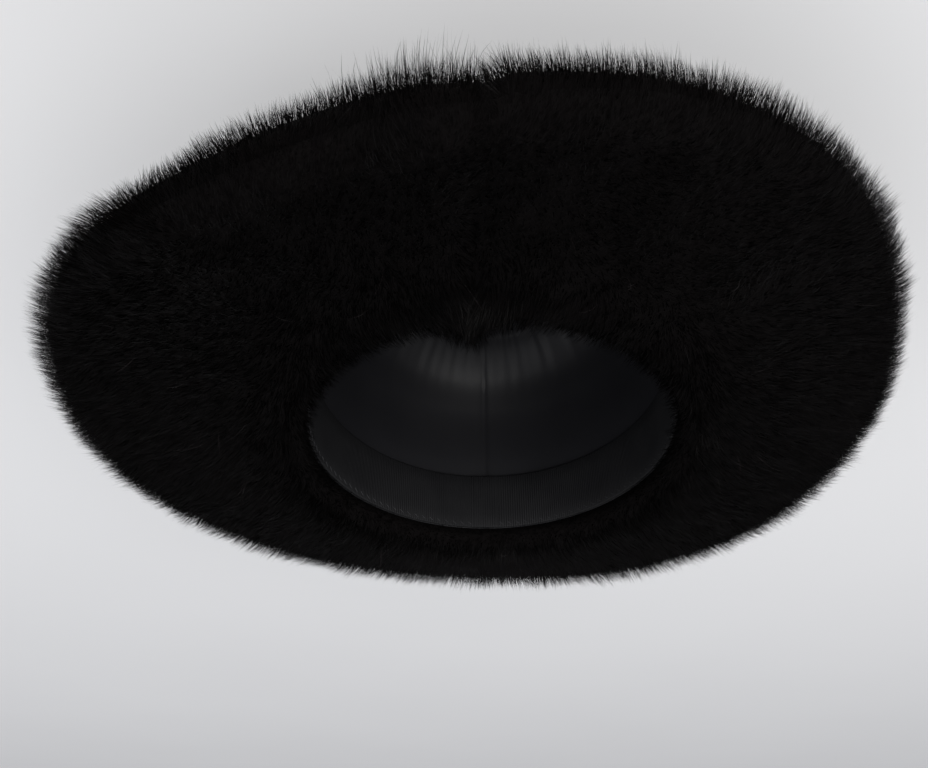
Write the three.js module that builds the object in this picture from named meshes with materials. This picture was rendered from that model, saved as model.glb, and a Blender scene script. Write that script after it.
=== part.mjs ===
import * as THREE from "three";
import { mergeVertices } from "three/addons/utils/BufferGeometryUtils.js";

// A wide-brimmed hat of deep black fur, put down on the flat tip of its crown, its head opening up.
// Every shape is worked out as the hat is worn: crown up, front towards -Y, opening at height 0.
// The last lines turn the hat over and stand it on the surface. Lengths are millimetres.

// The head opening is an oval. A radius in this file is the mean of its two half-axes.
const headRadius = 91;
// An oval is this much shorter than its radius across the hat and this much longer lengthwise.
const ovalStretch = 9;

const crownHeight = 125;
const furDepth = 12.5;
const liningThickness = 1.4;
const bandThickness = 1.5;
const bandHeight = 32;
// Pieces that lie on each other keep this gap.
const gap = 0.3;

// The crown's wall stands on the brim's innermost strip, which is flat and this wide.
const seatWidth = 14;
// The brim ends in a round roll of fur, half of it on each side.
const edgeRadius = 12.5;
// Of the brim's whole lift, the share that its slope has beside the crown and at the edge.
const slopeAtCrown = 0.6;
const slopeAtEdge = 1.4;

// The brim waves: its lift towards the crown and its width, at each twelfth of a turn from the
// front. Left and right are the wearer's.
const brimStations = [
  { at: "front", liftDegrees: -4, width: 103 },
  { at: "left brow", liftDegrees: 10, width: 98 },
  { at: "left temple", liftDegrees: 19, width: 98 },
  { at: "left ear", liftDegrees: 13, width: 101 },
  { at: "behind the left ear", liftDegrees: 7, width: 102 },
  { at: "back, on the left", liftDegrees: 7, width: 102 },
  { at: "back", liftDegrees: 11, width: 102 },
  { at: "back, on the right", liftDegrees: 10, width: 102 },
  { at: "behind the right ear", liftDegrees: 7, width: 102 },
  { at: "right ear", liftDegrees: 3, width: 103 },
  { at: "right temple", liftDegrees: 0, width: 106 },
  { at: "right brow", liftDegrees: -10, width: 106 },
];

// The pelts of the brim's underside meet in a seam at the front, a little to the wearer's right:
// this far off the middle at the forehead and at the brim's edge.
const seamAtForehead = -10.5;
const seamAtEdge = -6.5;
const seamDepth = 1.6;
const notchDepth = 3.5;
// The seam's angle fades out over this much of the brim to either side.
const seamFade = THREE.MathUtils.degToRad(40);
// At the seam the fur dips over the forehead in a small V.
const veeDepth = 12;
const veeHalfWidth = 18;
// Above 1, the V's sides curve in towards its point.
const veeCurve = 1.3;

// Fur is shaped into locks: crests and hollows that take turns round the hat and row by row.
const brimLocks = 72;
const crownLocks = 48;
const liningSides = 60;
const lockRelief = 1.1;
const edgeLockRelief = 1.3;

const fullTurn = Math.PI * 2;
const halfGap = gap / 2;
const { clamp, degToRad, euclideanModulo, lerp } = THREE.MathUtils;

// A value between four neighbouring ones, on a smooth curve through the middle two.
function smoothBetween(before, from, to, after, share) {
  const bend = share * share;
  const straight = (to - before) * share;
  const curved = (2 * before - 5 * from + 4 * to - after) * bend;
  const cubic = (3 * from - before - 3 * to + after) * bend * share;
  return 0.5 * (2 * from + straight + curved + cubic);
}

// The brim's lift in radians and its width at an angle round the hat.
function brimAt(angle) {
  const count = brimStations.length;
  const place = euclideanModulo(angle / fullTurn, 1) * count;
  const first = Math.floor(place);
  const share = place - first;
  const near = [-1, 0, 1, 2].map((step) => brimStations[(first + step + count) % count]);
  const lift = smoothBetween(...near.map((station) => station.liftDegrees), share);
  const width = smoothBetween(...near.map((station) => station.width), share);
  return { lift: degToRad(lift), width };
}

// A point on the oval of a given radius. Towards the middle the oval becomes a circle.
function ovalPoint(angle, radius, height) {
  const stretch = ovalStretch * Math.min(1, radius / headRadius);
  const x = (radius - stretch) * Math.sin(angle);
  const y = -(radius + stretch) * Math.cos(angle);
  return new THREE.Vector3(x, y, height);
}

// How far the seam lies off the middle at a radius.
function seamOffset(radius) {
  return lerp(seamAtForehead, seamAtEdge, (radius - headRadius) / brimStations[0].width);
}

// The angle, measured from the front, that a turn of the brim has once it gives way to the seam.
function angleBesideSeam(angle, radius) {
  const fromFront = angle > Math.PI ? angle - fullTurn : angle;
  const atSeam = Math.asin(seamOffset(radius) / (radius - ovalStretch));
  const share = Math.max(0, 1 - Math.abs(fromFront) / seamFade);
  return fromFront + atSeam * share;
}

// How far a row of fur stands out at a turn: crests and hollows alternate, staggered row by row,
// and a row that crosses the seam is pulled in there.
function lockHeight(row, turn) {
  if (turn === 0 && row.seam) return -row.seam;
  const isCrest = (turn + (row.stagger ?? 0)) % 2 === 0;
  return isCrest ? row.fur : -row.fur;
}

// A row of a section says where a ring of the surface lies. out is its distance from the head
// opening and up its height. fur is the height of its locks, and stand the direction in which
// they stand, in degrees: 0 is straight out, 90 up and 180 towards the head.
// On the brim a row may instead say how far it lies across it, from 0 beside the crown's wall
// to 1 at the middle of the edge's roll, with past as the distance beyond that.
function standing(row, turn) {
  const height = lockHeight(row, turn);
  const direction = degToRad(row.stand);
  return { out: height * Math.cos(direction), up: height * Math.sin(direction) };
}

// A point of the crown, the lining or the sweatband, none of which bend.
function crownPoint(row, angle, turn) {
  const lock = standing(row, turn);
  return ovalPoint(angle, headRadius + row.out + lock.out, row.up + lock.up);
}

// A point of the brim: its section, bent up or down as that part of the brim is.
function brimPoint(row, angle, turn) {
  const { lift, width } = brimAt(angle);
  const reach = width - edgeRadius - seatWidth;
  const lock = standing(row, turn);
  const across = row.across * reach + row.past;
  const bent = clamp(across, 0, reach);
  const slope = across <= 0 ? 0 : lift * lerp(slopeAtCrown, slopeAtEdge, bent / reach);
  const chord = lift * lerp(slopeAtCrown, slopeAtEdge, bent / reach / 2);
  const beyond = across - bent + lock.out;
  const up = row.up + lock.up;
  const lean = row.plumb ? 0 : slope;
  const flatRadius = headRadius + seatWidth + bent * Math.cos(chord) + beyond * Math.cos(slope);
  const radius = flatRadius - up * Math.sin(lean);
  const height = bent * Math.sin(chord) + beyond * Math.sin(slope) + up * Math.cos(lean);
  const turned = angleBesideSeam(angle, radius);
  const vee = row.vee ? row.vee * veeAt(turned, radius) : 0;
  return ovalPoint(turned, radius - vee, height);
}

// How far the forehead's edge dips at an angle from the front: most at the seam, none behind.
function veeAt(angle, radius) {
  if (Math.cos(angle) < 0) return 0;
  const fromSeam = (radius - ovalStretch) * Math.sin(angle) - seamOffset(radius);
  return veeDepth * Math.max(0, 1 - Math.abs(fromSeam) / veeHalfWidth) ** veeCurve;
}

// The lathe's four-cornered faces, each split along its other diagonal.
function splitTheOtherWay(rowCount, turns) {
  const faces = [];
  for (let turn = 0; turn < turns; turn += 1) {
    for (let row = 0; row < rowCount - 1; row += 1) {
      const corner = turn * rowCount + row;
      const beside = corner + rowCount;
      faces.push(corner, beside, beside + 1, corner, beside + 1, corner + 1);
    }
  }
  return faces;
}

// A closed solid round the hat. The lathe gives its rings and faces, turn by turn and row by row,
// and each of its points is then put where the hat has it. Two pieces whose rows run opposite ways
// and that lie on each other match face to face once one of them is split the other way.
function ringSolid(rows, turns, pointOf, isSplitTheOtherWay = false) {
  const outline = rows.map((row) => new THREE.Vector2(headRadius + (row.out ?? row.past), row.up));
  const geometry = new THREE.LatheGeometry(outline, turns);
  if (isSplitTheOtherWay) geometry.setIndex(splitTheOtherWay(rows.length, turns));
  const position = geometry.getAttribute("position");
  for (let index = 0; index < position.count; index += 1) {
    const turn = Math.floor(index / rows.length) % turns;
    const point = pointOf(rows[index % rows.length], (turn / turns) * fullTurn, turn);
    position.setXYZ(index, point.x, point.y, point.z);
  }
  geometry.deleteAttribute("normal");
  geometry.deleteAttribute("uv");
  const solid = mergeVertices(geometry, 1e-3);
  solid.computeVertexNormals();
  return solid;
}

const closeLoop = (rows) => [...rows, rows[0]];

// One quarter of the roll at the brim's edge, with the notch that ends the seam in it.
// side is 1 for the upper fur and -1 for the facing.
function edgeRows(side) {
  const flat = { across: 1, past: edgeRadius, up: side * halfGap, stand: 0 };
  const round = [35, 70].map((degrees, index) => ({
    across: 1,
    past: edgeRadius * Math.cos(degToRad(degrees)),
    up: side * edgeRadius * Math.sin(degToRad(degrees)),
    stand: side * degrees,
    stagger: index,
  }));
  return [flat, ...round].map((row) => ({ ...row, fur: edgeLockRelief, seam: notchDepth }));
}

// The side of a brim pelt that lies against the other one, half a gap off the brim's middle.
function meetingRows(side, shares) {
  return shares.map((across) => ({ across, past: 0, up: side * halfGap, stand: 0, fur: 0 }));
}

// The fur of the brim's underside, from the forehead's edge to the roll.
function facingSection() {
  const under = [
    { across: 0.85, past: 0, up: -12.3, stagger: 0 },
    { across: 0.55, past: 0, up: -11.8, stagger: 1 },
    { across: 0.28, past: 0, up: -11.3, stagger: 0 },
    { across: 0, past: 3, up: -10.8, stagger: 1 },
  ].map((row) => ({ ...row, stand: -90, fur: lockRelief, seam: seamDepth }));
  const lip = [
    { across: 0, past: -8, up: -10, stand: -110, fur: 0.6, vee: 0.5, seam: seamDepth },
    { across: 0, past: -13, up: -6.5, stand: -150, fur: 0.4, vee: 1 },
    { across: 0, past: -13.5, up: -halfGap, stand: 180, fur: 0, vee: 0.7 },
  ];
  return closeLoop([...meetingRows(-1, [0, 0.5, 1]), ...edgeRows(-1), ...under, ...lip]).reverse();
}

// The fur of the brim's upper side, from the furrow beside the crown to the roll.
function upperSection() {
  const over = [
    { across: 0.85, past: 0, up: 12.3, stagger: 0 },
    { across: 0.55, past: 0, up: 11.8, stagger: 1 },
    { across: 0.28, past: 0, up: 11.3, stagger: 0 },
    { across: 0, past: 9, up: 10.5, stagger: 1 },
  ].map((row) => ({ ...row, stand: 90, fur: lockRelief }));
  const foot = [
    { across: 0, past: 3, up: 7.5, stand: 90, fur: 0, plumb: true },
    { across: 0, past: 0.35, up: 4, stand: 90, fur: 0, plumb: true },
    { across: 0, past: 0.35, up: halfGap, stand: 90, fur: 0, plumb: true },
  ];
  return closeLoop([...meetingRows(1, [0.5, 1]), ...edgeRows(1), ...over, ...foot]);
}

// The crown's fur, outside, from the foot of its wall to the middle of its flat tip.
const crownOutside = [
  { out: 13.9, up: halfGap, stand: 0, fur: 0 },
  { out: 13.9, up: 9, stand: 0, fur: 0 },
  { out: 16, up: 30, stand: 0, fur: lockRelief, stagger: 0 },
  { out: 16, up: 58, stand: 0, fur: lockRelief, stagger: 1 },
  { out: 12.5, up: 84, stand: 20, fur: lockRelief, stagger: 0 },
  { out: 3, up: 105, stand: 45, fur: lockRelief, stagger: 1 },
  { out: -12, up: 119, stand: 65, fur: 0.6, stagger: 0 },
  { out: -32, up: crownHeight, stand: 90, fur: 0 },
  { out: -headRadius, up: crownHeight, stand: 90, fur: 0 },
];

// The pelts' leather side, inside the crown, from the middle of the tip down to the foot.
const crownInside = [
  { out: -headRadius, up: crownHeight - furDepth },
  { out: -40, up: crownHeight - furDepth },
  { out: -18, up: 107 },
  { out: -5.5, up: 95 },
  { out: 1.5, up: 76 },
  { out: 4.2, up: 40 },
  { out: 4.2, up: halfGap },
].map((row) => ({ ...row, stand: 0, fur: 0 }));

// The same rows, moved into the hollow by a depth, square to the wall.
function movedInward(rows, depth) {
  return rows.map((row, index) => {
    const before = rows[Math.max(0, index - 1)];
    const after = rows[Math.min(rows.length - 1, index + 1)];
    const along = new THREE.Vector2(after.out - before.out, after.up - before.up).normalize();
    const isOnAxis = index === 0;
    const inward = isOnAxis ? new THREE.Vector2(0, -1) : new THREE.Vector2(along.y, -along.x);
    return { ...row, out: row.out + inward.x * depth, up: row.up + inward.y * depth };
  });
}

// The satin lining follows the inside of the fur.
function liningSection() {
  const outside = movedInward(crownInside, gap);
  const inside = movedInward(crownInside, gap + liningThickness);
  return [...inside, ...outside.reverse()];
}

// The ribbon sweatband stands inside the lining, on the brim's innermost strip.
function bandSection() {
  const footOut = crownInside.at(-1).out - gap - liningThickness - gap;
  const corners = [
    { out: footOut, up: halfGap },
    { out: footOut, up: bandHeight },
    { out: footOut - bandThickness, up: bandHeight },
    { out: footOut - bandThickness, up: halfGap },
  ];
  return closeLoop(corners.map((row) => ({ ...row, stand: 0, fur: 0 })));
}

const furBlack = new THREE.MeshStandardMaterial({ color: 0x0a0908, roughness: 0.85, metalness: 0 });
const facingBlack = new THREE.MeshStandardMaterial({ color: 0x0c0a0a, roughness: 0.85, metalness: 0 });
const satinBlack = new THREE.MeshStandardMaterial({ color: 0x16161a, roughness: 0.45, metalness: 0 });
const ribbonBlack = new THREE.MeshStandardMaterial({ color: 0x1c1c20, roughness: 0.6, metalness: 0 });

function piece(name, geometry, material) {
  const mesh = new THREE.Mesh(geometry, material);
  mesh.name = name;
  return mesh;
}

const worn = new THREE.Group();
worn.add(
  piece("brim_facing_fur", ringSolid(facingSection(), brimLocks * 2, brimPoint), facingBlack),
  piece("brim_upper_fur", ringSolid(upperSection(), brimLocks * 2, brimPoint, true), furBlack),
  piece("crown_fur", ringSolid([...crownInside, ...crownOutside], crownLocks * 2, crownPoint), furBlack),
  piece("crown_lining", ringSolid(liningSection(), liningSides, crownPoint), satinBlack),
  piece("sweatband", ringSolid(bandSection(), liningSides, crownPoint), ribbonBlack),
);

// Put down on its crown, front still towards -Y.
worn.rotation.y = Math.PI;
worn.position.z = crownHeight;

const hat = new THREE.Group();
hat.add(worn);

export default hat;
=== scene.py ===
# %% [markdown]
# # A wide-brimmed hat of black fur
# The hat lies on the flat tip of its crown, as such a hat is put down, so its head opening looks up.
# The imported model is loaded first. It gives the real size and place of each piece, and every finer
# piece below is made where its plain solid lies and is then shown instead of it.

# %% Load the frame
import math

import bpy
import numpy as np
from mathutils import Matrix, Vector, kdtree


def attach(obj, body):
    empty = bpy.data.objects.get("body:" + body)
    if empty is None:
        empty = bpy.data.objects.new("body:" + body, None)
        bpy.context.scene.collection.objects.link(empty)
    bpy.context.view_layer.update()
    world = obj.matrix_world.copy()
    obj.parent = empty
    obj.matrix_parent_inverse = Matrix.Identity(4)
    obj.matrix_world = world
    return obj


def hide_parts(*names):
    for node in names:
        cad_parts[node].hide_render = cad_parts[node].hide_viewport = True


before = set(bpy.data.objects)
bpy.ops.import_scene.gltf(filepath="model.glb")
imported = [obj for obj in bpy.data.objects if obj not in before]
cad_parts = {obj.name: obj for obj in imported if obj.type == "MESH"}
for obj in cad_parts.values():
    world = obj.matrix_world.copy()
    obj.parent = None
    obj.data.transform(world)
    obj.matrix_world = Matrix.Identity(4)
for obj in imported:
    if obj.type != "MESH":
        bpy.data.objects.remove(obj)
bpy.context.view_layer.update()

# %% [markdown]
# ## The hat's own sizes
# The hat was designed with a few driving sizes. The fur has to follow the same forms as the solids,
# so the same sizes are named here, in millimetres, as the hat is worn: crown up, front towards -Y,
# opening at height 0. A last step turns every point over and changes it to metres.

# %% Driving sizes
MM = 0.001
TURN = 2 * math.pi
GAP = 0.3
HALF_GAP = GAP / 2
HEAD_RADIUS = 91
OVAL_STRETCH = 9
CROWN_HEIGHT = 125
FUR_DEPTH = 12.5
SEAT_WIDTH = 14
EDGE_RADIUS = 12.5
print("oval of the head opening, mm:", 2 * (HEAD_RADIUS - OVAL_STRETCH), 2 * (HEAD_RADIUS + OVAL_STRETCH))

# %% [markdown]
# ## The waves of the brim
# The brim dips at the front and lifts most on the wearer's left. Its lift towards the crown and its
# width are given at each twelfth of a turn, from the front towards the wearer's left. A smooth curve
# through four neighbouring values gives every angle between them, so that the brim has no kinks.

# %% Brim waves
LIFT_DEGREES = (-4, 10, 19, 13, 7, 7, 11, 10, 7, 3, 0, -10)
WIDTHS = (103, 98, 98, 101, 102, 102, 102, 102, 102, 103, 106, 106)
FRONT_WIDTH = WIDTHS[0]


def smooth_between(before, start, end, after, share):
    """A value between four neighbouring ones, on a smooth curve through the middle two."""
    straight = (end - before) * share
    curved = (2 * before - 5 * start + 4 * end - after) * share**2
    cubic = (3 * start - before - 3 * end + after) * share**3
    return 0.5 * (2 * start + straight + curved + cubic)


def round_the_brim(values, angle):
    """A list of values, even round the brim, carried smoothly to an angle from the front."""
    values = np.array(values, float)
    place = (angle / TURN % 1) * len(values)
    first = np.floor(place).astype(int)
    near = [values[(first + step) % len(values)] for step in (-1, 0, 1, 2)]
    return smooth_between(*near, place - first)


def brim_at(angle):
    """The brim's lift, in radians, and its width at an angle from the front."""
    return round_the_brim(np.radians(LIFT_DEGREES), angle), round_the_brim(WIDTHS, angle)


print("brim reaches", HEAD_RADIUS + FRONT_WIDTH, "mm from the middle at the front")

# %% [markdown]
# ## From a section to a point of the hat
# Every piece goes round the oval head opening, so a point is given by an angle and by where it lies
# in the piece's cross-section. NumPy works out whole grids of such points at once, which is far
# faster than a loop over vertices, and it keeps the formulas short enough to read.

# %% Points round the oval
def mix(low, high, share):
    """What lies a share of the way from low to high. It takes numbers, arrays and shader wires."""
    return low + (high - low) * share


def put_down(x, y, height):
    """Turns worn millimetres into metres of the hat lying on its crown."""
    return np.stack(np.broadcast_arrays(-x, y, CROWN_HEIGHT - height), axis=-1) * MM


def oval_point(angle, radius, height):
    """A point at an angle from the front. Inside the opening the oval shrinks evenly."""
    stretch = OVAL_STRETCH * np.minimum(1, radius / HEAD_RADIUS)
    return put_down((radius - stretch) * np.sin(angle), -(radius + stretch) * np.cos(angle), height)


print("front edge of the brim, m:", oval_point(0.0, HEAD_RADIUS + FRONT_WIDTH, 0.0).round(4))

# %% [markdown]
# ## The seam at the front
# The pelts of the brim meet at the front in a seam, which slants a little and lies to the wearer's
# right of the middle. If the grid ran straight across it, the seam would come out as a staircase. So
# the grid's lines are turned until one runs along the seam, and they are even again further round.

# %% The front seam
SEAM_AT_FOREHEAD = -10.5
SEAM_AT_EDGE = -6.5
SEAM_FADE = math.radians(40)
FAR_AWAY = 1e3


def seam_offset(radius):
    """How far the front seam lies off the middle."""
    return mix(SEAM_AT_FOREHEAD, SEAM_AT_EDGE, (radius - HEAD_RADIUS) / FRONT_WIDTH)


def from_front(angle):
    """The same angle, from minus to plus half a turn."""
    return (angle + math.pi) % TURN - math.pi


def beside_seam(angle, radius):
    """The angle that a line of the brim has once it gives way to the slanting seam."""
    at_seam = np.arcsin(seam_offset(radius) / (radius - OVAL_STRETCH))
    return from_front(angle) + at_seam * np.maximum(0, 1 - np.abs(from_front(angle)) / SEAM_FADE)


def distance_from_seam(angle, radius):
    """Millimetres across the front from the seam, and very far away behind."""
    across = (radius - OVAL_STRETCH) * np.sin(angle) - seam_offset(radius)
    return np.where(np.cos(angle) > 0, across, FAR_AWAY)


print("seam off the middle at the brim's edge, mm:", seam_offset(HEAD_RADIUS + FRONT_WIDTH))

# %% [markdown]
# ## Points of the brim and the crown
# A row of the brim's section says how far out it lies, as a share of the brim's reach (across) with
# millimetres past it (past), and how high (up). vee says how much of the small V over the forehead it
# takes, and a row with plumb 1 stays upright where the others lean with the slope. The slope grows
# towards the edge. The crown doesn't bend, so its rows are only millimetres out and up.

# %% Points of the brim and the crown
SLOPE_AT_CROWN = 0.6
SLOPE_AT_EDGE = 1.4
VEE_DEPTH = 12
VEE_HALF_WIDTH = 18
VEE_CURVE = 1.3


def brim_point(line, angle):
    """Points of the brim: the rows of a section line, bent as the brim is at each angle."""
    lift, width = brim_at(angle)
    reach = width - EDGE_RADIUS - SEAT_WIDTH
    across = line["across"] * reach + line["past"]
    bent = np.clip(across, 0, reach)
    slope = np.where(across <= 0, 0, lift * mix(SLOPE_AT_CROWN, SLOPE_AT_EDGE, bent / reach))
    chord = lift * mix(SLOPE_AT_CROWN, SLOPE_AT_EDGE, bent / reach / 2)
    beyond = across - bent
    lean = slope * (1 - line["plumb"])
    radius = HEAD_RADIUS + SEAT_WIDTH + bent * np.cos(chord) + beyond * np.cos(slope)
    radius = radius - line["up"] * np.sin(lean)
    height = bent * np.sin(chord) + beyond * np.sin(slope) + line["up"] * np.cos(lean)
    turned = beside_seam(angle, radius)
    dip = np.maximum(0, 1 - np.abs(distance_from_seam(turned, radius)) / VEE_HALF_WIDTH) ** VEE_CURVE
    return oval_point(turned, radius - line["vee"] * VEE_DEPTH * dip, height)


def crown_point(line, angle):
    """Points of the crown, the lining or the band, none of which bend."""
    return oval_point(angle, HEAD_RADIUS + line["out"], line["up"])


print("tip of the crown, m:", crown_point({"out": -HEAD_RADIUS, "up": CROWN_HEIGHT}, 0.0).round(4))

# %% [markdown]
# ## Smooth section lines
# The solids are faceted: a few rows, joined by flat strips. Fur has no facets, so each section is
# drawn as one smooth curve through the same rows. A Hermite curve does this: it passes through every
# row and takes its direction there from the two neighbours.

# %% Smooth section lines
BRIM_COLUMNS = ("across", "past", "up", "vee", "plumb")
CROWN_COLUMNS = ("out", "up")
MEAN_WIDTH = 102
MEAN_REACH = MEAN_WIDTH - EDGE_RADIUS - SEAT_WIDTH


def smooth_line(columns, rows, count, flat_place):
    """A section line through rows, in even steps. flat_place gives where a row lies, in millimetres."""
    table = np.array(rows, float)
    flat = flat_place(dict(zip(columns, table.T)))
    mark = np.concatenate([[0], np.cumsum(np.hypot(np.diff(flat[0]), np.diff(flat[1])))])
    slope = np.gradient(table, mark, axis=0)
    at = np.linspace(0, mark[-1], count)
    step = np.clip(np.searchsorted(mark, at, side="right") - 1, 0, len(mark) - 2)
    span = (mark[step + 1] - mark[step])[:, None]
    share = ((at - mark[step]) / span[:, 0])[:, None]
    eased = share**2 * (3 - 2 * share)
    curve = mix(table[step], table[step + 1], eased)
    curve += span * share * (1 - share) * ((1 - share) * slope[step] - share * slope[step + 1])
    line = dict(zip(columns, curve.T))
    line["run"] = at
    return line


def brim_place(row):
    return row["across"] * MEAN_REACH + row["past"], row["up"]


def crown_place(row):
    return row["out"], row["up"]


print("reach of the brim's slope, mm:", MEAN_REACH)

# %% [markdown]
# ## The rows of each section
# The brim is a sandwich. Its underside runs from the lip inside the opening to the middle of the round
# edge, and its upper side from the furrow beside the crown to the same place, so both end in a quarter
# of a roll. The crown's fur runs from the brim up the wall and over a round shoulder to the tip.

# %% Brim rows
FLANK = ((0.28, 11.3), (0.55, 11.8), (0.85, 12.3))
ROLL_DEGREES = (75, 60, 45, 30, 15)
FUR_STEPS = 120


def outer_rows(side):
    """The flank and the quarter roll of the brim's edge. side is 1 above the brim, -1 below."""
    flank = [(share, 0, side * height, 0, 0) for share, height in FLANK]
    turns = [math.radians(degrees) for degrees in ROLL_DEGREES]
    roll = [(1, EDGE_RADIUS * math.cos(turn), side * EDGE_RADIUS * math.sin(turn), 0, 0) for turn in turns]
    return [*flank, *roll, (1, EDGE_RADIUS, side * HALF_GAP, 0, 0)]


FACING_ROWS = [
    (0, -13.5, -HALF_GAP, 0.7, 0),
    (0, -13.0, -6.5, 1, 0),
    (0, -8.0, -10.0, 0.5, 0),
    (0, 3.0, -10.8, 0, 0),
    *outer_rows(-1),
]
UPPER_ROWS = [
    (0, 0.35, HALF_GAP, 0, 1),
    (0, 0.35, 4.0, 0, 1),
    (0, 3.0, 7.5, 0, 1),
    (0, 9.0, 10.5, 0, 0),
    *outer_rows(1),
]
facing_line = smooth_line(BRIM_COLUMNS, FACING_ROWS, FUR_STEPS, brim_place)
upper_line = smooth_line(BRIM_COLUMNS, UPPER_ROWS, FUR_STEPS, brim_place)
print("fur across the brim, mm:", round(facing_line["run"][-1]), round(upper_line["run"][-1]))

# %% Crown rows
CROWN_ROWS = [
    (13.9, HALF_GAP),
    (13.9, 9.0),
    (16.0, 30.0),
    (16.0, 58.0),
    (12.5, 84.0),
    (3.0, 105.0),
    (-12.0, 119.0),
    (-32.0, CROWN_HEIGHT),
    (-60.0, CROWN_HEIGHT),
    (-89.0, CROWN_HEIGHT),
]
CROWN_INSIDE_ROWS = [
    (4.2, HALF_GAP),
    (4.2, 40.0),
    (1.5, 76.0),
    (-5.5, 95.0),
    (-18.0, 107.0),
    (-40.0, CROWN_HEIGHT - FUR_DEPTH),
    (-89.0, CROWN_HEIGHT - FUR_DEPTH),
]
crown_line = smooth_line(CROWN_COLUMNS, CROWN_ROWS, FUR_STEPS, crown_place)
crown_line["up"] = np.minimum(crown_line["up"], CROWN_HEIGHT)
print("fur from the brim to the crown's middle, mm:", round(crown_line["run"][-1]))

# %% [markdown]
# ## A coat: the surface that fur grows on
# A coat is a grid of points over one furred side, with the direction that points out of the fur and
# the direction that runs away from the section's start. Hairs are rooted at random spots of it,
# spread evenly by area, so that a wide part of the brim gets as many to the square centimetre as a
# narrow one. Each coat is told roughly which way is out: up, down, or away from the crown's axis.

# %% The coat
COAT_ANGLES = 720
SMALLEST = 1e-12


def unit(vectors):
    return vectors / np.maximum(np.linalg.norm(vectors, axis=-1, keepdims=True), SMALLEST)


class Coat:
    """One furred side. Its normals point to outside on the whole. Combing gives it lean and sway."""

    def __init__(self, point_of, line, outside):
        self.run = line["run"]
        self.to_end = self.run[-1] - self.run
        self.angle = np.arange(COAT_ANGLES)[:, None] * TURN / COAT_ANGLES
        self.points = point_of(line, self.angle)
        self.outside = outside
        self.take_directions()
        radius = np.hypot(self.points[..., 0] / MM, self.points[..., 1] / MM)
        self.seam = distance_from_seam(np.arctan2(-self.points[..., 0], -self.points[..., 1]), radius)

    def take_directions(self):
        """Works out the three directions at each grid point: out of the fur, away and around."""
        self.away = unit(np.gradient(self.points, axis=1))
        around = np.roll(self.points, -1, axis=0) - np.roll(self.points, 1, axis=0)
        normal = unit(np.cross(around, self.away))
        self.normal = normal * np.sign(np.sum(normal * self.outside(self.points)))
        self.around = np.cross(self.normal, self.away)

    def dent(self, depth):
        """Pulls the surface in by a depth, in millimetres, and finds its directions again."""
        self.points = self.points - self.normal * depth[..., None] * MM
        self.take_directions()

    def spots(self, count, rng, density):
        """Random places as two fractional grid numbers. density is a weight for each grid point."""
        across = np.linalg.norm(np.roll(self.points, -1, axis=0) - self.points, axis=-1)
        along = np.linalg.norm(np.diff(self.points, axis=1), axis=-1)
        share = (across[:, 1:] * along * density[:, 1:]).ravel()
        sums = np.cumsum(share)
        cell = np.searchsorted(sums, rng.uniform(0, sums[-1], count))
        cell = np.minimum(cell, len(share) - 1)
        turn, row = np.divmod(cell, len(self.run) - 1)
        return turn + rng.uniform(0, 1, count), row + rng.uniform(0, 1, count)

    def at(self, grid, spots):
        """A grid's values at some spots."""
        turn, row = spots
        turn0, row0 = np.floor(turn).astype(int), np.floor(row).astype(int)
        row1 = np.minimum(row0 + 1, len(self.run) - 1)
        turn1 = (turn0 + 1) % COAT_ANGLES
        wide = (slice(None),) + (None,) * (grid.ndim - 2)
        share, step = (turn - turn0)[wide], (row - row0)[wide]
        near = mix(grid[turn0 % COAT_ANGLES, row0], grid[turn0 % COAT_ANGLES, row1], step)
        far = mix(grid[turn1, row0], grid[turn1, row1], step)
        return mix(near, far, share)


# %% Three coats
UP = np.array([0, 0, 1.0])
TIP_DROP = 0.03
facing_coat = Coat(brim_point, facing_line, lambda points: UP)
upper_coat = Coat(brim_point, upper_line, lambda points: -UP)
crown_coat = Coat(crown_point, crown_line, lambda points: points * [1, 1, 0] - TIP_DROP * UP)
print("coats:", facing_coat.points.shape, upper_coat.points.shape, crown_coat.points.shape)

# %% [markdown]
# ## Room for the hair, the seam and the notch
# The solids show the dense outline of the fur. The hair of the round edge stands out past the surface
# that it grows on, so that surface lies a little further in. The front seam is a shallow furrow, and
# where it meets the edge there is a small notch with a low step on each side. All of these are dents
# in the coats, made before the hair grows, so that the hair follows them.

# %% Dents in the coats
ROOM_FOR_HAIR = {"front": 0.1, "side": 2.1, "back": 0.6}
ROLL_ZONE, ROLL_EASE = 20, 14
NOTCH_DEPTH, NOTCH_WIDTH = 1.6, 1.6
STEP_DEPTH, STEP_WIDTHS = 1.6, (14.0, 3.0)
SEAM_DEPTH, SEAM_WIDTH = 1.6, 3.0
SEAM_START, SEAM_EASE = 12, 10


def eased_in(distance, length):
    """0 up to a distance of 0, 1 from a length on, and even between."""
    return np.clip(distance / length, 0, 1)


def hump(distance, width):
    """1 at a distance of 0, and less and less on both sides."""
    return np.exp(-((distance / width) ** 2))


def roll_depth(coat):
    """How far the round edge lies in: room for its hair, the notch, and the low step beside it."""
    notch = NOTCH_DEPTH * hump(coat.seam, NOTCH_WIDTH)
    step = STEP_DEPTH * hump(coat.seam, np.where(coat.seam < 0, *STEP_WIDTHS))
    frontness = np.cos(coat.angle)
    end = np.where(frontness > 0, ROOM_FOR_HAIR["front"], ROOM_FOR_HAIR["back"])
    room = mix(ROOM_FOR_HAIR["side"], end, frontness**2)
    return (room + notch + step) * eased_in(ROLL_ZONE - coat.to_end, ROLL_EASE)


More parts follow.
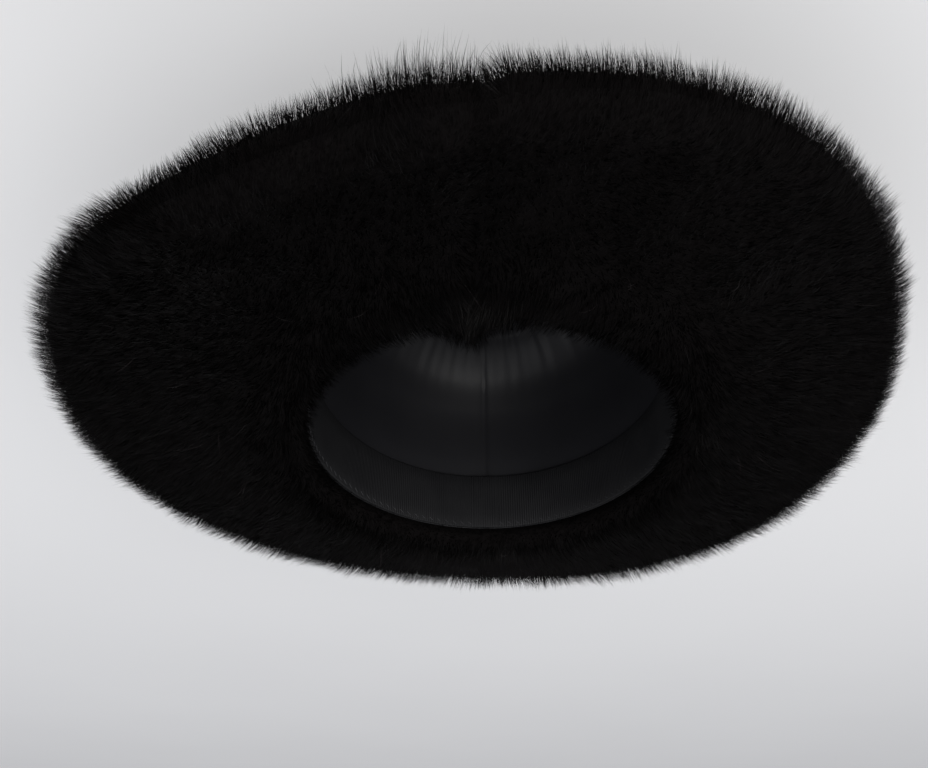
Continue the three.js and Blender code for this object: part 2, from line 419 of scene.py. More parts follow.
seam_share = hump(facing_coat.seam, SEAM_WIDTH) * eased_in(facing_coat.run - SEAM_START, SEAM_EASE)
facing_coat.dent(np.maximum(SEAM_DEPTH * seam_share, roll_depth(facing_coat)))
upper_coat.dent(roll_depth(upper_coat))
print("deepest dent in the round edge, mm:", roll_depth(facing_coat).max().round(1))

# %% [markdown]
# ## Mesh helpers
# A million small triangles are too many to add one by one from Python. Blender takes whole arrays
# with foreach_set instead, so these helpers hand over every point and every face at once. The thin
# closed bodies of the hat are all grids that go round it, so two helpers close them: a ring closes
# round its own section, and a cup ends in a fan of triangles at each end.

# %% From arrays to a piece
hat_pieces = []


def make_piece(name, points, faces, normals=None):
    """A mesh object from arrays. faces is a list of index arrays with three or four columns."""
    mesh = bpy.data.meshes.new(name)
    corners = np.concatenate([group.ravel() for group in faces]).astype(np.int32)
    sizes = np.concatenate([np.full(len(group), group.shape[1]) for group in faces])
    starts = np.concatenate([[0], np.cumsum(sizes)[:-1]]).astype(np.int32)
    mesh.vertices.add(len(points))
    mesh.vertices.foreach_set("co", np.ascontiguousarray(points, np.float32).ravel())
    mesh.loops.add(len(corners))
    mesh.loops.foreach_set("vertex_index", corners)
    mesh.polygons.add(len(sizes))
    mesh.polygons.foreach_set("loop_start", starts)
    mesh.polygons.foreach_set("use_smooth", np.ones(len(sizes), bool))
    mesh.update(calc_edges=True)
    if normals is not None:
        mesh.normals_split_custom_set_from_vertices(np.ascontiguousarray(normals, np.float32))
    piece = bpy.data.objects.new(name, mesh)
    bpy.context.scene.collection.objects.link(piece)
    hat_pieces.append(piece)
    print(name, "has", int(np.sum(sizes - 2)), "triangles")
    return piece


# %% Grids that go round the hat
def loop_faces(turns, rows, is_closed):
    """Quads of a grid that closes round the hat, and round its own section if is_closed."""
    turn = np.arange(turns)[:, None]
    row = np.arange(rows if is_closed else rows - 1)[None, :]
    this_turn, next_turn = turn * rows, (turn + 1) % turns * rows
    next_row = (row + 1) % rows
    corner = [this_turn + row, next_turn + row, next_turn + next_row, this_turn + next_row]
    return np.stack(np.broadcast_arrays(*corner), axis=-1).reshape(-1, 4)


def cap_faces(turns, rows, row, centre):
    """A fan of triangles from one row of a grid to a centre point."""
    turn = np.arange(turns)
    first, second = turn * rows + row, (turn + 1) % turns * rows + row
    return np.stack([first, second, np.full(turns, centre)], axis=-1)


def outward(points, faces):
    """The same faces, turned so that the closed body they bound faces out."""
    a, b, c = (points[faces[0][:, i]] for i in (0, 1, 2))
    volume = np.einsum("ij,ij->i", a, np.cross(b, c)).sum()
    if faces[0].shape[1] == 4:
        d = points[faces[0][:, 3]]
        volume += np.einsum("ij,ij->i", a, np.cross(c, d)).sum()
    return faces if volume > 0 else [group[:, ::-1] for group in faces]


def closed_ring(name, grid):
    """A body whose section closes on itself."""
    points = grid.reshape(-1, 3)
    return make_piece(name, points, outward(points, [loop_faces(*grid.shape[:2], True)]))


def closed_cup(name, grid):
    """A body whose first and last rows are closed with a fan each."""
    turns, rows = grid.shape[:2]
    centres = np.array([grid[:, 0].mean(axis=0), grid[:, -1].mean(axis=0)])
    points = np.concatenate([grid.reshape(-1, 3), centres])
    first_centre = turns * rows
    faces = [loop_faces(turns, rows, False), cap_faces(turns, rows, 0, first_centre)[:, ::-1],
             cap_faces(turns, rows, rows - 1, first_centre + 1)]
    return make_piece(name, points, outward(points, faces))


print("faces of a ring of 4 turns and 3 rows:", len(loop_faces(4, 3, True)))

# %% [markdown]
# ## The pelts under the fur
# Under the hair lies the skin. It can't be seen, but it has to be there: without it, light would
# shine through between the hairs. Each pelt is one closed body, with its furred side a little inside
# the coat and its leather side against the next piece.

# %% The brim's pelts
PELT_ANGLES = 180
PELT_SKIP = COAT_ANGLES // PELT_ANGLES
PELT_ROW_SKIP = 4
SKIN_BELOW_FUR = 1.8
LEATHER_SHARES = np.linspace(0.95, 0.02, 7)


def brim_pelt(name, coat, side):
    """A closed brim pelt: the coat's surface, sunk to the skin, and back along the brim's middle."""
    skin = (coat.points - coat.normal * SKIN_BELOW_FUR * MM)[::PELT_SKIP, ::PELT_ROW_SKIP]
    leather_line = {"across": LEATHER_SHARES, "past": 0, "up": side * HALF_GAP, "vee": 0, "plumb": 0}
    leather = brim_point(leather_line, coat.angle[::PELT_SKIP])
    return closed_ring(name, np.concatenate([skin, leather], axis=1))


facing_pelt = brim_pelt("facing_pelt", facing_coat, -1)
upper_pelt = brim_pelt("upper_pelt", upper_coat, 1)

# %% The crown's pelt
TIP_SKIN_SHARE = 0.3
TIP_EASE = 12
LEATHER_STEPS = 20


def crown_pelt():
    """The closed crown pelt, from the tip outside, down the wall and up again inside."""
    depth = SKIN_BELOW_FUR * np.clip((CROWN_HEIGHT - crown_line["up"]) / TIP_EASE, TIP_SKIN_SHARE, 1)
    skin = (crown_coat.points - crown_coat.normal * depth[:, None] * MM)[::PELT_SKIP, ::PELT_ROW_SKIP]
    inside_line = smooth_line(CROWN_COLUMNS, CROWN_INSIDE_ROWS, LEATHER_STEPS, crown_place)
    leather = crown_point(inside_line, crown_coat.angle[::PELT_SKIP])
    return closed_cup("crown_pelt", np.concatenate([skin[:, ::-1], leather], axis=1))


crown_pelt_piece = crown_pelt()

# %% [markdown]
# ## Soft locks
# Fur is never quite even: it lies in soft locks. Waves of random direction and length, added up, bend
# the hair a little. Each wave goes a whole number of times round the hat, so that it meets itself.

# %% Soft waves
WAVE_COUNT = 14


def soft_waves(coat, rng, turns, length):
    """Waves mostly from -1 to 1: at most so many round the hat, and so long along the section."""
    total = 0
    for _ in range(WAVE_COUNT):
        whole = int(rng.integers(-turns, turns + 1))
        across = rng.uniform(-1, 1) * TURN / length
        total = total + np.sin(whole * coat.angle + across * coat.run + rng.uniform(0, TURN))
    return total / math.sqrt(WAVE_COUNT)


print("waves added up:", WAVE_COUNT)

# %% [markdown]
# ## Which way the hair leans
# Two fields of degrees say how fur is combed. The first is the lean: 0 stands straight up, a positive
# lean lies away from the section's start and a negative one towards it. On the underside of the brim
# the hair lies out towards the edge, stands up in a parting and lies in over the lip beside the
# opening. Round the edge it turns with the roll, so that it sticks straight out, and at the back it
# stands up already before the edge.

# %% Lean of the hair
EDGE_TURN = 0.8
PARTING_RUN = {"side": 19, "front": 35}
PARTING_LEAN = 12
LEAN_CHANGE = 40
PARTING_SPREAD = 15
LIP_RUNS, LIP_LEANS = (0, 6, 13, 18), (30, 12, -20, -30)
RIM_ZONE, RIM_EASE = 48, 24
STANDS_BEHIND = 0.6
UPPER_LEAN = 52
CROWN_LEAN = -56


def in_front(coat):
    return np.clip(np.cos(coat.angle), 0, 1)


def behind(coat):
    return np.clip(-np.cos(coat.angle), 0, 1)


def round_the_edge(coat, lean):
    """Near the brim's edge the lean turns with the roll and comes to nothing at its middle."""
    roll_left = np.degrees(coat.to_end / EDGE_RADIUS)
    return np.minimum(lean, EDGE_TURN * roll_left)


def facing_lean():
    run = facing_coat.run
    parting = mix(PARTING_RUN["side"], PARTING_RUN["front"], in_front(facing_coat) ** 2)
    beyond = PARTING_LEAN + LEAN_CHANGE * np.tanh((run - parting) / PARTING_SPREAD)
    over_lip = np.interp(run, LIP_RUNS, LIP_LEANS)
    lean = np.where(run < LIP_RUNS[-1], np.maximum(over_lip, beyond), beyond)
    stands = STANDS_BEHIND * eased_in(RIM_ZONE - facing_coat.to_end, RIM_EASE) * behind(facing_coat)
    return round_the_edge(facing_coat, lean * (1 - stands))


print("degrees that the underside leans:", facing_lean().min().round(), facing_lean().max().round())

# %% [markdown]
# ## Which way the hair sways
# The second field is the sway, to the side. On the front half both sides sway towards the front seam,
# most of all over the forehead, where they meet in a small V. At the back the hair sways from the
# middle to the sides. The soft waves are added to both fields.

# %% Sway of the hair
FRONT_START, FRONT_EASE = 0.1, 0.75
FRONT_SWAY, FRONT_SPREAD = 30, 60
BACK_SWAY = 26
VEE_SWAY, VEE_SPREAD = 30, 15
VEE_HAIR_WIDTH, VEE_HAIR_RUN = 30, 60
LEAN_WAVE, SWAY_WAVE = 8, 11
BRIM_WAVES = {"lean": (30, 38), "sway": (24, 45)}
CROWN_WAVES = {"lean": (20, 40), "sway": (16, 45)}
comb_rng = np.random.default_rng(11)


def sway_of_brim(coat):
    """Sideways: towards the seam on the front half, and from the middle of the back to the sides."""
    front = eased_in(np.cos(coat.angle) - FRONT_START, FRONT_EASE)
    back = 2 * behind(coat) * np.sin(coat.angle)
    return FRONT_SWAY * front**2 * (3 - 2 * front) * np.tanh(coat.seam / FRONT_SPREAD) + BACK_SWAY * back


def sway_to_vee():
    """More of the same over the forehead, so that the hair meets in a point."""
    near = hump(facing_coat.seam, VEE_HAIR_WIDTH) * np.clip(1 - facing_coat.run / VEE_HAIR_RUN, 0, 1)
    return VEE_SWAY * near * np.tanh(facing_coat.seam / VEE_SPREAD)


def comb(coat, lean, sway, waves):
    """Gives a coat its two fields, with soft waves in both."""
    coat.lean = lean + LEAN_WAVE * soft_waves(coat, comb_rng, *waves["lean"])
    coat.sway = sway + SWAY_WAVE * soft_waves(coat, comb_rng, *waves["sway"])


comb(facing_coat, facing_lean(), sway_of_brim(facing_coat) + sway_to_vee(), BRIM_WAVES)
comb(upper_coat, round_the_edge(upper_coat, UPPER_LEAN), -sway_of_brim(upper_coat), BRIM_WAVES)
comb(crown_coat, CROWN_LEAN, 0, CROWN_WAVES)
print("degrees that the underside sways:", facing_coat.sway.min().round(), facing_coat.sway.max().round())

# %% [markdown]
# ## Growing hair
# Mink has two kinds of hair: short dense underfur, and long guard hairs that are thin at the root,
# thickest past the middle and pointed, whose tips draw together in small tufts. Blender has hair
# curves, but they don't export as a mesh. So each hair is a narrow pointed ribbon of three or five
# triangles, turned at random about its own length so that some face every way. Its shading normal
# is that of a round hair, which gives a coat its soft sheen.

# %% Bent hairs
START_SHARE, END_SHARE = 0.65, 1.3
TINY = 1e-6
TUFT_CURVE = 1.6


def bent_hairs(coat, spots, length, sink, rng, steps, wild):
    """The middle lines of hairs, which lean more towards their tips, and the normals at their roots."""
    normal, away, around = (unit(coat.at(grid, spots)) for grid in (coat.normal, coat.away, coat.around))
    fields = (coat.lean, coat.sway)
    degrees = [coat.at(field, spots) + rng.normal(0, wild, len(spots[0])) for field in fields]
    lean, sway = np.radians(degrees)[..., None]
    tilt = np.hypot(lean, sway) + TINY
    swing = (away * lean + around * sway) / tilt

    def heading(share):
        return normal * np.cos(share * tilt) + swing * np.sin(share * tilt)

    bend = rng.normal(0, math.radians(wild), (2, len(lean), 1))
    start = heading(START_SHARE)
    end = unit(heading(END_SHARE) + away * bend[0] + around * bend[1])
    root = coat.at(coat.points, spots) - normal * sink * MM
    share = np.linspace(0, 1, steps)[None, :, None]
    bow = share * start[:, None] + share**2 / 2 * (end - start)[:, None]
    return root[:, None] + bow * (length * MM)[:, None, None], normal


def drawn_together(hairs, tufts, pull):
    """Each hair's tip is drawn to the nearest of the first hairs, which lead the tufts."""
    tree = kdtree.KDTree(tufts)
    for index, root in enumerate(hairs[:tufts, 0]):
        tree.insert(root, index)
    tree.balance()
    leader = np.array([tree.find(root)[1] for root in hairs[:, 0]])
    share = np.linspace(0, 1, hairs.shape[1])[None, :, None] ** TUFT_CURVE
    return mix(hairs, hairs[leader], pull[:, None, None] * share)


print("a hair's lean at its root and tip, as shares of its comb:", START_SHARE, END_SHARE)

# %% Ribbons from hairs
TWIST = 75
GLINT_SPREAD = 0.18
GLINT_LIFT = 0.25


def hair_ribbons(name, hairs, normal, width, shape, rng):
    """A piece of pointed ribbons. shape gives the width at each step but the last, as shares."""
    count, steps = hairs.shape[:2]
    along = unit(np.gradient(hairs, axis=1))
    outer = normal[:, None] - np.sum(normal[:, None] * along, axis=-1, keepdims=True) * along
    outer = unit(outer + TINY)
    flank = np.cross(along, outer)
    spin = np.radians(rng.uniform(-TWIST, TWIST, count))[:, None, None]
    side = flank * np.cos(spin) + outer * np.sin(spin)
    half = (width / 2 * MM)[:, None, None] * np.array(shape)[None, :, None]
    left, right = hairs[:, :-1] - side[:, :-1] * half, hairs[:, :-1] + side[:, :-1] * half
    pairs = np.stack([left, right], axis=2).reshape(count, -1, 3)
    points = np.concatenate([pairs, hairs[:, -1:]], axis=1)
    glint = outer + rng.normal(0, GLINT_SPREAD, (count, 1, 1)) * flank + GLINT_LIFT * normal[:, None]
    glint = unit(glint)
    normals = np.concatenate([np.repeat(glint[:, :-1], 2, axis=1), glint[:, -1:]], axis=1)
    size = points.shape[1]
    first = (np.arange(count) * size)[:, None]
    quads = [first + np.array([2 * k, 2 * k + 1, 2 * k + 3, 2 * k + 2]) for k in range(steps - 2)]
    tips = first + np.array([size - 3, size - 2, size - 1])
    return make_piece(name, points.reshape(-1, 3), [*quads, tips], normals.reshape(-1, 3))


print("ribbons turn up to", TWIST, "degrees either way")

# %% [markdown]
# ## Where the hair grows
# A density says how much hair each part of a coat gets. The brim's edge gets the most, because there
# the hair stands out against the light and every gap shows.

# %% Densities
EDGE_ZONE = 24
LIP_ZONE = 15
EDGE_DENSITY, DENSITY_DROP = 2.2, 1.2


def all_over(coat):
    return np.ones(coat.points.shape[:2])


def zone(coat, start, end):
    """A density of 1 from one run of the section to another, and 0 elsewhere."""
    is_in = (coat.run >= start) & (coat.run <= end)
    return all_over(coat) * is_in


def away_from_edge(coat):
    """A density of 1 over a coat, which fades to 0 at the brim's round edge."""
    return all_over(coat) * np.interp(coat.to_end, [EDGE_ZONE / 3, EDGE_ZONE], [0, 1])


def at_edge(coat):
    return 1 - away_from_edge(coat)


def thicker_at_edge(coat):
    """More than twice the hair round the brim's edge, where it stands out against the light."""
    return EDGE_DENSITY - DENSITY_DROP * away_from_edge(coat)


def near_front(coat, middle, spread):
    """A density of 1 at a distance from the front seam, in millimetres, that fades on both sides."""
    return hump(coat.seam - middle, spread)


facing_end, upper_end, crown_end = (coat.run[-1] for coat in (facing_coat, upper_coat, crown_coat))
print("share of the underside that counts as its edge:", at_edge(facing_coat).mean().round(2))

# %% [markdown]
# ## Underfur and guard hair
# Underfur fills the coat up to its surface, so each hair is as long as its lean asks for, and ends a
# little above the surface, or at about the surface on the round edge. Guard hairs have a length of
# their own, uneven from hair to hair and longest at the back of the hat, and are drawn into tufts.

# %% Underfur
SHORT_SHAPE = (1.0, 0.75)
UNDERFUR_TOP = {"flat": 1.5, "edge": 0.0}
UNDERFUR_LONGEST = {"flat": 0.5, "edge": 0.7}
UNDERFUR_WIDTH = {"flat": 0.45, "edge": 0.26}
UNDERFUR_SPREAD = (0.75, 1.25)
UNDERFUR_SHORTEST = 0.8
UNDERFUR_WILD = 12
ROOT_IN_SKIN = 0.3
MOST_LEAN = 55


def underfur(name, coat, count, seed, density):
    """Short hair that is longer where it leans more, so that its top stays even."""
    rng = np.random.default_rng(seed)
    spots = coat.spots(count, rng, density)
    lean = np.radians(np.clip(coat.at(coat.lean, spots), -MOST_LEAN, MOST_LEAN))
    sink = SKIN_BELOW_FUR + ROOT_IN_SKIN
    is_flat = coat.at(away_from_edge(coat), spots)
    top, longest, width = (mix(sizes["edge"], sizes["flat"], is_flat)
                           for sizes in (UNDERFUR_TOP, UNDERFUR_LONGEST, UNDERFUR_WIDTH))
    longer = longest * rng.uniform(0, 1, count) ** 2
    lengths = (sink + top) / np.cos(lean) * (UNDERFUR_SHORTEST + longer)
    hairs, normal = bent_hairs(coat, spots, lengths, sink, rng, len(SHORT_SHAPE) + 1, UNDERFUR_WILD)
    return hair_ribbons(name, hairs, normal, width * rng.uniform(*UNDERFUR_SPREAD, count), SHORT_SHAPE, rng)


print("underfur ends above the coat, mm:", UNDERFUR_TOP)

# %% Guard hair
LENGTH_WAVE = 0.07
LENGTH_WAVES = (60, 16)
LONGER_BEHIND = 0.18
SHORTNESS = (1.4, 1.9)
PULL_SPREAD = (0.5, 1.0)
WIDTH_SPREAD = (0.8, 1.2)
EDGE_HAIR = {"length": 12.0, "width": 0.072, "shape": (0.9, 1.0), "tuft": 11, "pull": 0.7,
             "uneven": 0.75, "stout": 0.8}
LONG_SHAPE = (0.8, 1.0, 0.7)
LONG_HAIR = {"length": 18.0, "width": 0.12, "shape": LONG_SHAPE, "tuft": 5, "pull": 0.6}
LONG_HAIR_MIDDLE, LONG_HAIR_SPREAD = -20, 10
GUARD_SHAPE = (0.6, 1.0)


def length_share(coat):
    """How long the hair is in each place: soft waves, and the longest at the back of the hat."""
    waves = 1 + LENGTH_WAVE * soft_waves(coat, comb_rng, *LENGTH_WAVES)
    return waves * (1 + LONGER_BEHIND * behind(coat))


for coat in (facing_coat, upper_coat, crown_coat):
    coat.length_share = length_share(coat)


def guard_hair(name, coat, count, seed, density, length, width, pull, shape=GUARD_SHAPE, tuft=4,
               wild=6, uneven=0.5, stout=0.0):
    """Guard hairs, one tuft for so many. uneven: how much shorter, and stout: wider, the shortest are."""
    rng = np.random.default_rng(seed)
    spots = coat.spots(count, rng, density)
    lengths = length * (1 - uneven * rng.beta(*SHORTNESS, count)) * coat.at(coat.length_share, spots)
    hairs, normal = bent_hairs(coat, spots, lengths, SKIN_BELOW_FUR, rng, len(shape) + 1, wild)
    pulls = rng.uniform(*PULL_SPREAD, count) * pull * lengths / lengths.max()
    hairs = drawn_together(hairs, max(1, count // tuft), pulls)
    widths = rng.uniform(*WIDTH_SPREAD, count) * width * (1 + stout * (1 - lengths / lengths.max()))
    return hair_ribbons(name, hairs, normal, widths, shape, rng)


print("hair at the back, as a share of that at the front:",
      (facing_coat.length_share[COAT_ANGLES // 2].mean() / facing_coat.length_share[0].mean()).round(2))

# %% [markdown]
# ## Fur of the brim's underside
# This is the side that shows most. Guard hair covers its broad slope, finer and longer hair makes the
# fringe of the round edge, and short soft hair hangs over the forehead, with a small fan where the
# seam ends in its V. To the wearer's right of the seam a few extra long hairs stand out at the edge,
# and some stray ones lie across the rest. Each kind is one piece, so that its finish can differ.

# %% Fur of the underside
FOREHEAD_ZONE = (0.5, LIP_ZONE + 4)
VEE_ZONE = (4, 34)
VEE_ZONE_WIDTH = 22
facing_pieces = [
    underfur("facing_underfur", facing_coat, count=46000, seed=21, density=thicker_at_edge(facing_coat)),
    guard_hair("facing_guard_hair", facing_coat, count=49000, seed=22,
               density=zone(facing_coat, LIP_ZONE, facing_end) * away_from_edge(facing_coat),
               length=10.0, width=0.16, pull=0.35),
    guard_hair("facing_edge_hair", facing_coat, count=31000, seed=23, density=at_edge(facing_coat),
               **EDGE_HAIR),
    guard_hair("forehead_hair", facing_coat, count=7500, seed=24,
               density=zone(facing_coat, *FOREHEAD_ZONE),
               length=7.4, width=0.12, shape=LONG_SHAPE, tuft=8, pull=0.7),
    guard_hair("vee_hair", facing_coat, count=1000, seed=27,
               density=zone(facing_coat, *VEE_ZONE) * near_front(facing_coat, 0, VEE_ZONE_WIDTH),
               length=8.4, width=0.10, shape=LONG_SHAPE, tuft=5, pull=0.5),
    guard_hair("facing_long_hair", facing_coat, count=110, seed=25,
               density=at_edge(facing_coat) * near_front(facing_coat, LONG_HAIR_MIDDLE, LONG_HAIR_SPREAD),
               **LONG_HAIR),
    guard_hair("facing_stray_hair", facing_coat, count=90, seed=26,
               density=zone(facing_coat, LIP_ZONE, facing_end - EDGE_ZONE),
               length=15.0, width=0.11, shape=LONG_SHAPE, tuft=1, pull=0, wild=26),
]

# %% [markdown]
# ## Fur of the brim's upper side
# The upper side has the same fur, but faces the floor here, so fewer and wider hairs will do. Its
# edge hair completes the fringe of the round edge. None grows in the furrow beside the crown.

# %% Fur of the upper side
FURROW_END = {"underfur": 6, "guard": 8}
upper_pieces = [
    underfur("upper_underfur", upper_coat, count=31000, seed=31,
             density=zone(upper_coat, FURROW_END["underfur"], upper_end) * thicker_at_edge(upper_coat)),
    guard_hair("upper_guard_hair", upper_coat, count=28000, seed=32,
               density=zone(upper_coat, FURROW_END["guard"], upper_end) * away_from_edge(upper_coat),
               length=10.0, width=0.18, pull=0.4),
    guard_hair("upper_edge_hair", upper_coat, count=28000, seed=33, density=at_edge(upper_coat),
               **EDGE_HAIR),
    guard_hair("upper_long_hair", upper_coat, count=110, seed=34,
               density=at_edge(upper_coat) * near_front(upper_coat, LONG_HAIR_MIDDLE, LONG_HAIR_SPREAD),
               **LONG_HAIR),
]

# %% [markdown]
# ## Fur of the crown
# The crown's hair lies down from the tip to the brim. The hat stands on its tip, where the weight
# presses the fur flat, so every hair there is kept just above the floor.

# %% Fur of the crown
FLOOR_CLEARANCE = 0.2
CROWN_FUR_START = 8
above_furrow = zone(crown_coat, CROWN_FUR_START, crown_end)
crown_pieces = [
    underfur("crown_underfur", crown_coat, count=25000, seed=41, density=above_furrow),
    guard_hair("crown_guard_hair", crown_coat, count=28000, seed=42, density=above_furrow,
               length=10.0, width=0.18, pull=0.5),
]


def keep_above_floor(piece):
    """Lifts the points that reach below the clearance. Gives the lowest height, in millimetres."""
    co = np.empty(len(piece.data.vertices) * 3, np.float32)
    piece.data.vertices.foreach_get("co", co)
    co[2::3] = np.maximum(co[2::3], FLOOR_CLEARANCE * MM)
    piece.data.vertices.foreach_set("co", co)
    piece.data.update()
    return round(float(co[2::3].min() / MM), 2)


lowest = [keep_above_floor(piece) for piece in crown_pieces]
print("lowest hair of the crown, mm:", lowest)

# %% [markdown]
# ## The lining
# The lining is satin: a wall strip with one seam at the back, slightly gathered where it is sewn to
# an oval tip. A cloth simulation would only find the shape that the sewing already gives it, so the
# folds are added to the section as soft waves that die away from the tip's seam.

# %% The lining
LINING_THICKNESS = 1.4
LINING_ANGLES = 360
LINING_STEPS = 100
BACK_STEP = 9
TIP_SEAM_RUN = 126
GROOVE_WIDTH = 1.6
GROOVE_DEPTH = 0.9
GATHER_DEPTH = 0.11
GATHER_COUNT = 9
GATHER_TURNS = (28, 64)
GATHER_REACH = {"wall": 26, "tip": 9}
GATHER_SLANT = 0.01
lining_rng = np.random.default_rng(51)
hollow_line = smooth_line(CROWN_COLUMNS, CROWN_INSIDE_ROWS, LINING_STEPS, crown_place)
lining_angle = np.arange(LINING_ANGLES)[:, None] * TURN / LINING_ANGLES


def moved_inward(line, depth):
    """A crown section moved into the hollow, square to itself."""
    along = np.stack([np.gradient(line["out"]), np.gradient(line["up"])])
    along = along / np.hypot(*along)
    return {"out": line["out"] - along[1] * depth, "up": line["up"] + along[0] * depth}


def lining_folds():
    """How far the satin lies off its even surface: soft gathers that start at the tip's seam."""
    from_tip_seam = hollow_line["run"] - TIP_SEAM_RUN
    total = 0
    for whole in lining_rng.integers(*GATHER_TURNS, GATHER_COUNT):
        slant = lining_rng.uniform(0, TURN) + GATHER_SLANT * hollow_line["run"]
        total = total + np.sin(whole * lining_angle + slant)
    reach = np.where(from_tip_seam < 0, GATHER_REACH["wall"], GATHER_REACH["tip"])
    gathers = GATHER_DEPTH * total * hump(from_tip_seam, reach)
    from_back = (lining_angle - math.pi) * (HEAD_RADIUS - OVAL_STRETCH)
    back_seam = -GROOVE_DEPTH * hump(from_back, GROOVE_WIDTH) * (from_tip_seam < 0)
    return gathers + np.minimum(-GROOVE_DEPTH * hump(from_tip_seam, GROOVE_WIDTH), back_seam)


def lining():
    """The satin: a plain back against the fur's leather, and a face with the folds."""
    back = crown_point(moved_inward(hollow_line, GAP), lining_angle)
    face = crown_point(moved_inward(hollow_line, GAP + LINING_THICKNESS), lining_angle)
    face = face + unit(face - back) * lining_folds()[..., None] * MM
    return closed_cup("satin_lining", np.concatenate([back[:, ::-BACK_STEP], face], axis=1))


satin_piece = lining()

# %% [markdown]
# ## The sweatband
# The sweatband is a ribbed ribbon that goes round the inside of the opening, where the hat touches
# the forehead. Its two ends overlap at the back, which shows as a low step. It is one closed section
# carried round the oval, and the step is a lap added to the rows of its face.

# %% The sweatband
BAND_ANGLES = 720
BAND_HEIGHT = 32
BAND_THICKNESS = 1.5
BAND_BACK = CROWN_INSIDE_ROWS[0][0] - GAP - LINING_THICKNESS - GAP
BAND_FACE = BAND_BACK - BAND_THICKNESS
LAP_WIDTH = 14
LAP_RISE = 0.45
LAP_EASE = 0.8
BACK_CORNER, FACE_CORNER = BAND_BACK - 0.35, BAND_BACK - 1.15
BAND_ROWS = [
    (BAND_BACK, 0.5),
    (BAND_BACK, 31.2),
    (BACK_CORNER, BAND_HEIGHT),
    (FACE_CORNER, BAND_HEIGHT),
    (BAND_FACE, 31.3),
    (BAND_FACE, 24.0),
    (BAND_FACE, 16.0),
    (BAND_FACE, 8.0),
    (BAND_FACE, 0.9),
    (FACE_CORNER, HALF_GAP),
    (BACK_CORNER, HALF_GAP),
]


def band():
    """The ribbon, with the step of its overlap at the back on the rows of its face."""
    angle = np.arange(BAND_ANGLES)[:, None] * TURN / BAND_ANGLES
    line = dict(zip(CROWN_COLUMNS, np.array(BAND_ROWS).T))
    from_back = np.abs(angle - math.pi) * (HEAD_RADIUS - OVAL_STRETCH)
    lap = np.clip((LAP_WIDTH / 2 - from_back) / LAP_EASE + 0.5, 0, 1)
    is_face = line["out"] <= FACE_CORNER
    line = {"out": line["out"] - LAP_RISE * lap * is_face, "up": line["up"]}
    return closed_ring("ribbon_band", crown_point(line, angle))


band_piece = band()

# %% [markdown]
# ## The stitches of the band
# The band is sewn in by hand near the opening, and the stitches show as short slanting threads. Each
# is a thin body of six sides that tapers into the ribbon at both ends. One thread's faces are worked
# out once and repeated round the band.

# %% Stitches
STITCH_COUNT = 116
STITCH_HEIGHT = 2.4
STITCH_LENGTH = 3.2
STITCH_SLANT = {"along": 0.8, "up": 0.6}
THREAD_RADIUS = 0.22
THREAD_SIDES = 6
THREAD_PLACES = np.array([-1, -0.7, 0, 0.7, 1])
THREAD_THICKNESS = np.array([0.1, 0.8, 1, 0.8, 0.1])


def thread_faces():
    """The quads of one thread: its sides, and two for each of its six-sided ends."""
    ring = np.arange(THREAD_SIDES)
    next_side = (ring + 1) % THREAD_SIDES
    sides = []
    for k in range(len(THREAD_PLACES) - 1):
        low, high = k * THREAD_SIDES, (k + 1) * THREAD_SIDES
        sides.append(np.stack([low + ring, low + next_side, high + next_side, high + ring], axis=-1))
    last_end = (len(THREAD_PLACES) - 1) * THREAD_SIDES + np.array([[0, 1, 2, 3], [0, 3, 4, 5]])
    return np.concatenate(sides), np.concatenate([[[0, 5, 4, 3], [0, 3, 2, 1]], last_end])


def stitches():
    """Short slanting threads round the band, each a thin tapered body of six sides."""
    along = THREAD_PLACES[:, None] * STITCH_LENGTH / 2
    side = np.arange(THREAD_SIDES) * TURN / THREAD_SIDES
    wide, deep = (THREAD_THICKNESS[:, None] * THREAD_RADIUS * wave(side) for wave in (np.cos, np.sin))
    middle = (np.arange(STITCH_COUNT) * TURN / STITCH_COUNT)[:, None, None]
    angle = middle + (STITCH_SLANT["along"] * along - STITCH_SLANT["up"] * wide) / HEAD_RADIUS
    up = STITCH_HEIGHT + STITCH_SLANT["up"] * along + STITCH_SLANT["along"] * wide
    points = crown_point({"out": BAND_FACE - THREAD_RADIUS / 2 + deep, "up": up}, angle).reshape(-1, 3)
    first = (np.arange(STITCH_COUNT) * len(THREAD_PLACES) * THREAD_SIDES)[:, None, None]
    faces = [(first + part).reshape(-1, 4) for part in thread_faces()]
    return make_piece("band_stitches", points, outward(points, faces))


stitch_piece = stitches()

# %% [markdown]
# ## Materials
# Shader nodes are wired up here by a small class that makes sums of sockets read like sums of
# numbers. Each finish below is then a few lines, and mix works on its wires as on numbers.

# %% Shader sockets as numbers
class Wire:
    """A socket of a finish that can be added, subtracted and multiplied like a number."""

    def __init__(self, finish, socket):
        self.finish = finish
        self.socket = socket

    def __add__(self, other):
        return self.finish.math("ADD", self, other)

    def __radd__(self, other):
        return self.finish.math("ADD", other, self)

    def __sub__(self, other):
        return self.finish.math("SUBTRACT", self, other)

    def __rsub__(self, other):
        return self.finish.math("SUBTRACT", other, self)

    def __mul__(self, other):
        return self.finish.math("MULTIPLY", self, other)

    def __rmul__(self, other):
        return self.finish.math("MULTIPLY", other, self)


